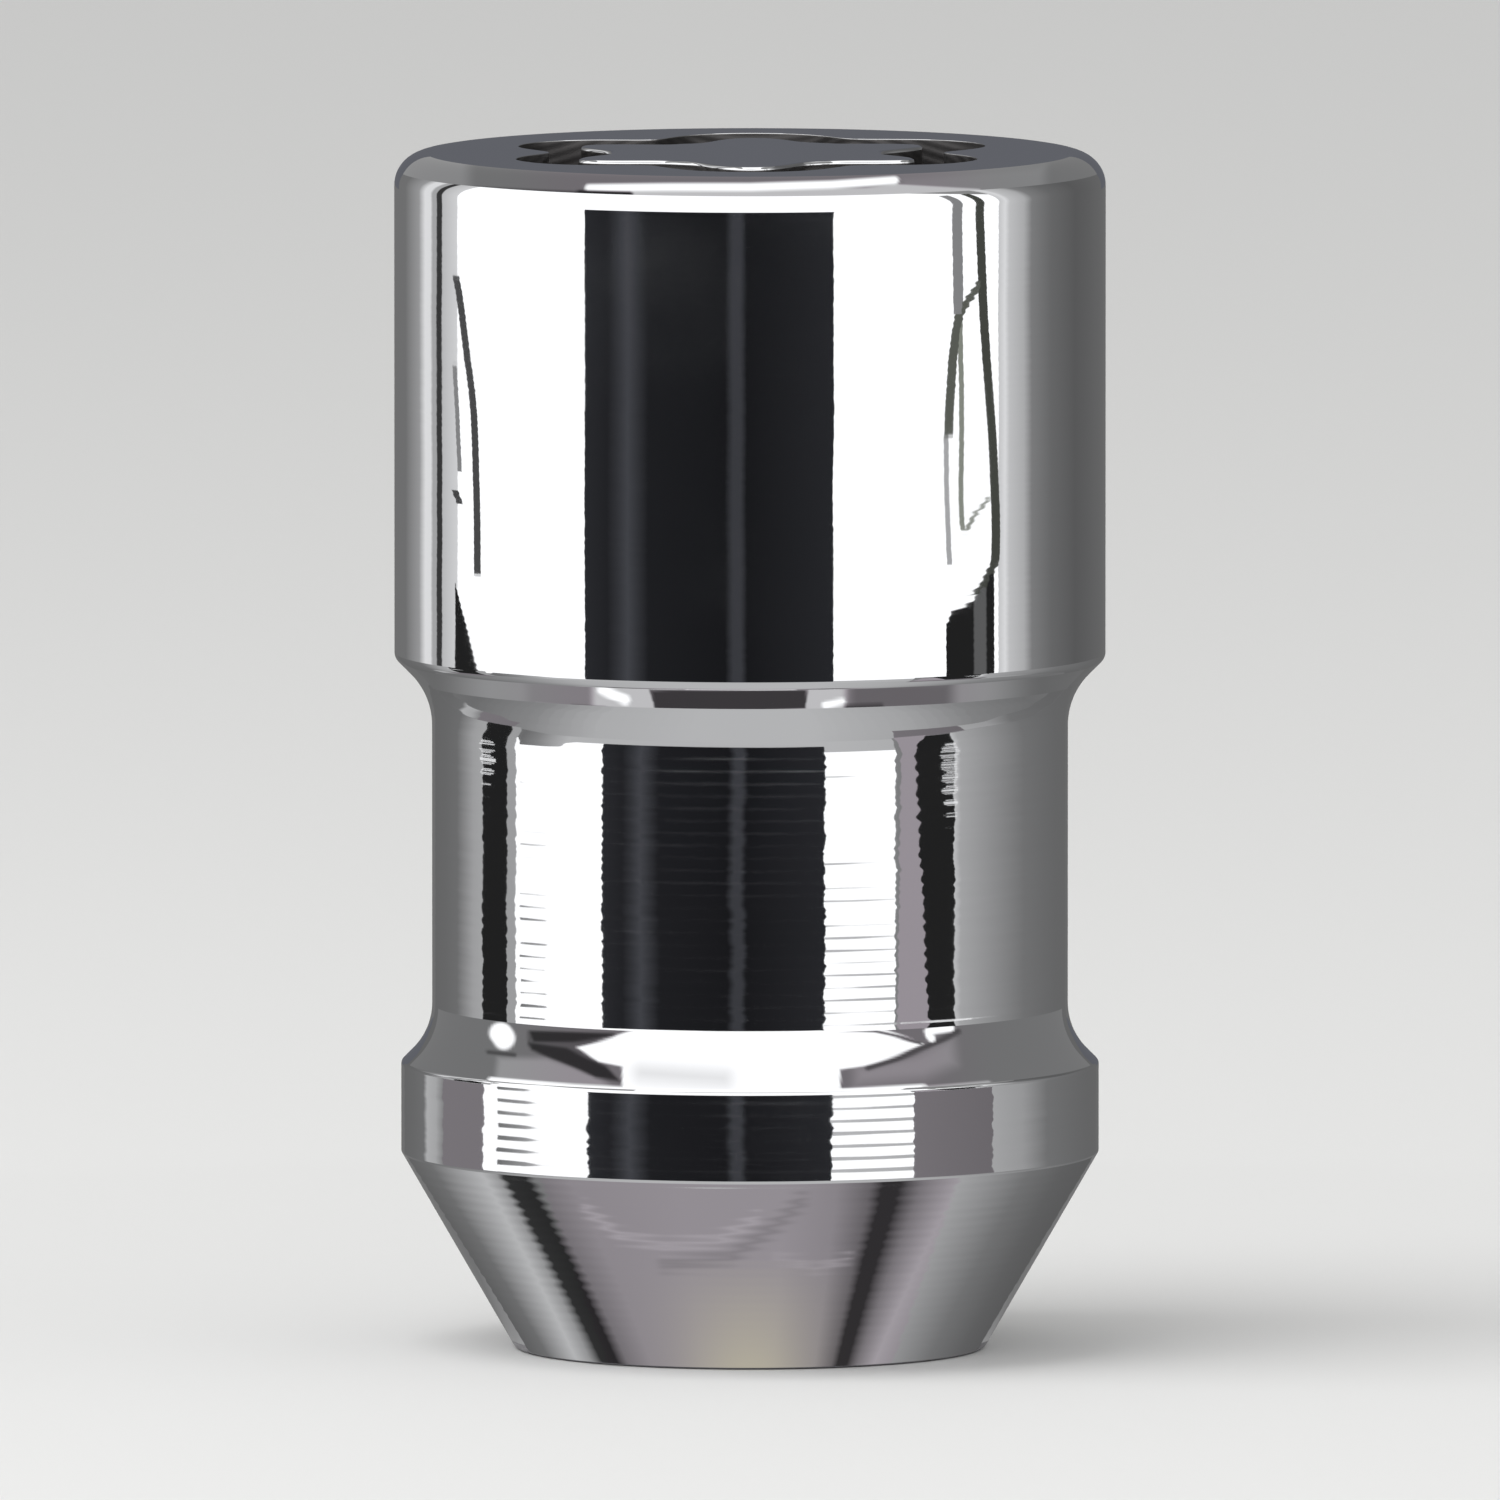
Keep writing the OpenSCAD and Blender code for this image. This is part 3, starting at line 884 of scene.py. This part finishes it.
# A section lists each place's radius, height and lean, from the top down
round_depth = 1 - math.cos(math.radians(SLOPE))
half_slope = math.tan(math.radians(SLOPE) / 2)
flare_section = []
for step in range(FLARE_STEPS + 1):
    lean = math.radians(FIRST_LEAN + (SLOPE - FIRST_LEAN) * step / FLARE_STEPS)
    flare_section.append((NECK_R + FLARE_R * (1 - math.cos(lean)),
                          NECK_Z + FLARE_R * (half_slope - math.sin(lean)), math.degrees(lean)))
for step in range(1, STRAIGHT_STEPS + 1):
    out = NECK_R + FLARE_R * round_depth
    radius = out + (COLLAR_R - FLARE_MARGIN - out) * step / STRAIGHT_STEPS
    flare_section.append((radius, FLARE_Z + COLLAR_R - radius, SLOPE))
# The flare's painted reflections, the white ones painted highlights
flare_shapes = [
    ([(-7.7, 0.8), (-6.2, 0.8), (-4.6, 1.35), (-4.2, 1.7), (-7.8, 1.6)], 0, 0.4, 0.3),
    ([(3.2, 1.1), (5, 0.7), (6.2, 0.2), (6.3, 1), (5.3, 1.4), (3.2, 1.6)], 0, 0.36, 0.6),
    ([(-6.8, 0), (-4.1, 0), (-5.2, 0.5), (-4.3, 1.1), (-6.8, 0.45)], 0, 0.13, 0.1),
    ([(-6.75, -0.02), (-5.4, 0.02), (-4.1, 0.06), (-4.1, 0.14), (-5.4, 0.3), (-6.6, 0.3)], 0, 0.04, 0.12),
    ([(-6.75, 0.34), (-5.6, 0.5), (-4.4, 1.05), (-3.95, 1.5), (-4.7, 1.4), (-5.8, 0.92), (-6.7, 0.55)],
     0, 0.04, 0.14),
    ([(-5.3, 0.48), (-4.2, 0.18), (-3.8, 0), (-3, -0.3), (3, -0.3), (4.1, -0.1), (5.3, 0.36), (4.6, 0.72),
      (3.7, 1), (2.75, 1.15), (2.75, 2.2), (-3.9, 2.2), (-3.9, 1.05), (-4.6, 0.9)], 0, WHITE, 0.1),
    ([(-3.3, 1.25), (-0.8, 1.42)], 0.5, 1.0, 1.0),
    ([(2.3, -0.12), (3.8, -0.05), (5.2, 0.33)], 0.1, 0.12, 0.08),
    ([(6.35, 0), (5.4, 0.45), (4.5, 0.8), (3.6, 1.1)], 0.18, 0.1, 0.12),
    ([(-7.62, 0.06), (-7.52, 0.2)], 0.68, WHITE, 0.15),
    ([(-8, 0.62), (-7.2, 0.7)], 0.13, 0.1, 0.1),
    ([(5.45, 0.1), (5.55, 0.2)], 0.2, WHITE, 0.1),
    ([(5.45, -0.02), (6.1, -0.12)], 0.26, WHITE, 0.1),
    ([(-7.9, 1.5), (-5.35, 1.7), (-2.7, 1.83), (0, 1.86), (2.7, 1.83), (5.3, 1.7)], 0.24, WHITE, 0.08),
    ([(5.3, 1.7), (7.3, 1.55)], 0.12, 0.6, 0.1)]
close_sheet("flare_sheet", flare_section, (-0.98, 0.98), 0.22, flare_shapes)

shoulder_section = []
for step in range(STRAIGHT_STEPS + 1):
    out = NECK_R + SHOULDER_R * round_depth
    radius = HEAD_R - SHOULDER_MARGIN - (HEAD_R - SHOULDER_MARGIN - out) * step / STRAIGHT_STEPS
    shoulder_section.append((radius, SHOULDER_Z + radius - NECK_R, -SLOPE))
for step in range(1, STRAIGHT_STEPS + 1):
    lean = math.radians(SLOPE - SHOULDER_TURN * step / STRAIGHT_STEPS)
    shoulder_section.append((NECK_R + SHOULDER_R * (1 - math.cos(lean)),
                             SHOULDER_Z + SHOULDER_R * (math.sin(lean) - half_slope), -math.degrees(lean)))
# The shoulder's painted reflections, the white ones painted highlights
shoulder_shapes = [
    ([(-6.8, -0.3), (-4.4, -0.3), (-4.4, 0.8), (-6.8, 0.8)], 0, 0.3, 0.5),
    ([(3, -0.3), (6.2, -0.3), (6.2, 0.7), (3, 0.7)], 0, 0.18, 0.6),
    ([(-12, -2), (-8.8, -2), (-8.8, 2), (-12, 2)], 0, 0.17, 2),
    ([(12, -2), (8, -2), (8, 2), (12, 2)], 0, 0.17, 2),
    ([(-4.8, -0.3), (2.9, -0.3), (2.9, 0.9), (-4.8, 0.9)], 0, 0.7, 0.3),
    ([(-4.5, 0), (-3.8, 0.3)], 0.3, WHITE, 0.15),
    ([(2.3, 0.45), (2.8, 0.35)], 0.2, WHITE, 0.12),
    ([(-3.05, 0), (1.75, -0.02), (1.7, 0.55), (0, 0.62), (-1.5, 0.64), (-2.9, 0.56)], 0, 0.06, 0.08),
    ([(-5.4, 0.5), (-4.4, 0.56)], 0.15, 0.08, 0.1),
    ([(2.95, 0.52), (4, 0.48)], 0.14, 0.08, 0.1),
    ([(-6.5, 0.5), (-5.6, 0.58)], 0.2, 1.2, 0.12)]
close_sheet("shoulder_sheet", shoulder_section, (-0.95, 0.95), 0.36, shoulder_shapes)

edge_section = []
for lean in range(88, 26, -2):
    turn = math.radians(lean)
    edge_section.append((HEAD_R - HEAD_EDGE * (1 - math.cos(turn)),
                         TOP - HEAD_EDGE * (1 - math.sin(turn)), lean))
# The rounded edge's painted reflections, the white one a painted highlight
edge_shapes = [
    ([(4.6, 0), (9, -0.4), (9, 0.8), (4.6, 0.8)], 0, 0.3, 0.5),
    ([(-12, -1), (-8.6, -1), (-8.6, 1), (-12, 1)], 0, 0.32, 0.6),
    ([(-3.6, 0.46), (3.5, 0.34), (4.5, 0.22), (7, 0.35), (7, 1), (-3.6, 1)], 0, 0.7, 0.08),
    ([(-4.9, 0.34), (-2.5, 0.32), (0, 0.32), (2.5, 0.24), (4.4, 0.1)], 0.24, WHITE, 0.14),
    ([(-8.4, 0.3), (-6.4, 0.42), (-3.65, 0.55)], 0.1, 0.1, 0.1),
    ([(-5.2, 0.48), (-3.65, 0.54)], 0.18, 0.03, 0.1)]
close_sheet("edge_sheet", edge_section, (-0.985, 0.985), 0.22, edge_shapes)


# The sheets on the floor, painted reflections
# Two sheets lie on the floor and show in reflections alone. The cone mirrors the one at the nut's foot,
# painted with dark bands on both sides, faint arcs and a warm patch. The shoulder and the collar mirror
# the other further out, painted darker towards the back.
CONE_TILT = -30
CONE_STEP = 0.012
CONE_ROWS = 36
CONE_FOOT = 0.05 * MM
CONE_SHEET_Z = 0.02 * MM
FLOOR_SHEET_Z = 0.01 * MM
FLOOR_STEP = 5
WARM = (1.5, 1.38, 1.1)
WARM_HALF, WARM_HEIGHT = 0.25, 0.6
CONE_PURPLE_HALF = 0.6
# Each stop: its share of the half width at the cone's top, the share at its foot, and its brightness
cone_stops = [
    (-0.985, -0.93, 0.14), (-0.92, -0.85, 0.2), (-0.85, -0.79, 0.4), (-0.77, -0.73, 0.62),
    (-0.725, -0.67, 0.4), (-0.708, -0.622, 0.04), (-0.645, -0.556, 0.03), (-0.62, -0.51, 0.24),
    (-0.52, -0.41, 0.36), (-0.2, -0.2, 0.4), (0.1, 0.1, 0.4), (0.25, 0.27, 0.34), (0.35, 0.34, 0.18),
    (0.385, 0.365, 0.04), (0.435, 0.405, 0.04), (0.5, 0.45, 0.25), (0.61, 0.52, 0.48), (0.69, 0.6, 0.38),
    (0.8, 0.75, 0.22), (0.9, 0.88, 0.15), (0.985, 0.96, 0.12)]
cone_arcs = [
    ([(-5, 1), (-4, 1.8), (-2.6, 2.1), (-1, 1.9), (0.2, 1.2)], 0.2, 0.52, 0.4),
    ([(-2.6, 2.7), (-0.6, 2.4), (0.8, 1.4), (1.6, 0.6)], 0.3, 0.3, 0.5),
    ([(0.8, 2.4), (2, 2.8), (3, 2.5)], 0.15, 0.46, 0.4)]


def cone_sheet():
    """The sheet of painted reflections that the cone mirrors, laid out by where the camera sees each of its
    points.
    """
    columns, colours = [], []
    for top_share, foot_share, level in between(cone_stops, CONE_STEP):
        column, tones = [], []
        for k in range(CONE_ROWS + 1):
            up = k / CONE_ROWS
            height = CONE_FOOT + up * COLLAR_Z
            share = foot_share + (top_share - foot_share) * up
            place, way = mirrored_way(share, CONE_TILT)
            radius = SEAT_END_R + up * (COLLAR_R - SEAT_END_R)
            run = (height - CONE_SHEET_Z) / -way[2]
            column.append([radius * place[0] + run * way[0], radius * place[1] + run * way[1], CONE_SHEET_Z])
            spot = (radius * share / MM, (COLLAR_Z - height) / MM)
            warmth = math.exp(-(share / WARM_HALF) ** 2) * max(0, 1 - up / WARM_HEIGHT)
            tint = PURPLE if abs(share) < CONE_PURPLE_HALF else NEUTRAL
            shade = painted(spot, level, cone_arcs)
            tones.append([shade * (p + (w - p) * warmth) for p, w in zip(tint, WARM)])
        columns.append(column)
        colours.append(tones)
    sheet("cone_sheet", columns, colours)


cone_sheet()
# Each stop: its azimuth from the camera's side and its brightness
floor_stops = between([(-180, 0.2), (-120, 0.2), (-85, 0.32), (-55, 0.56), (-20, 0.62), (20, 0.62),
                       (55, 0.5), (85, 0.3), (120, 0.2), (180, 0.2)], FLOOR_STEP)
floor_columns = [[[r * math.sin(math.radians(side)), -r * math.cos(math.radians(side)), FLOOR_SHEET_Z]
                  for r in (SEAT_END_R + 0.3 * MM, NEAR_FLOOR_R)] for side, _ in floor_stops]
sheet("mirrored_floor", floor_columns, [[[level] * 3] * 2 for _, level in floor_stops])


# The lamp and the sky
# One soft lamp hangs over the nut, to its left and towards the camera, and gives the floor its faint
# shadow. The sky is pale and even, and the chrome mirrors a darker one than the camera sees.
SEEN_SKY = (0.72, 0.72, 0.715, 1)
MIRRORED_SKY = (0.33, 0.33, 0.325, 1)
lamp = bpy.data.objects.new("soft_lamp", bpy.data.lights.new("soft_lamp", "AREA"))
lamp.data.size = 0.5
lamp.data.energy = 2.6
lamp.location = (-0.25, -0.2, 0.6)
lamp.rotation_euler = (math.radians(-18), math.radians(-22), 0)
lamp.visible_glossy = False
bpy.context.scene.collection.objects.link(lamp)

world = bpy.data.worlds.new("studio")
bpy.context.scene.world = world
world.use_nodes = True
sky = world.node_tree
backdrop = sky.nodes["Background"]
rays = sky.nodes.new("ShaderNodeLightPath")
tone = sky.nodes.new("ShaderNodeMix")
tone.data_type = "RGBA"
tone.inputs["A"].default_value = SEEN_SKY
tone.inputs["B"].default_value = MIRRORED_SKY
sky.links.new(rays.outputs["Is Glossy Ray"], tone.inputs["Factor"])
sky.links.new(tone.outputs["Result"], backdrop.inputs["Color"])
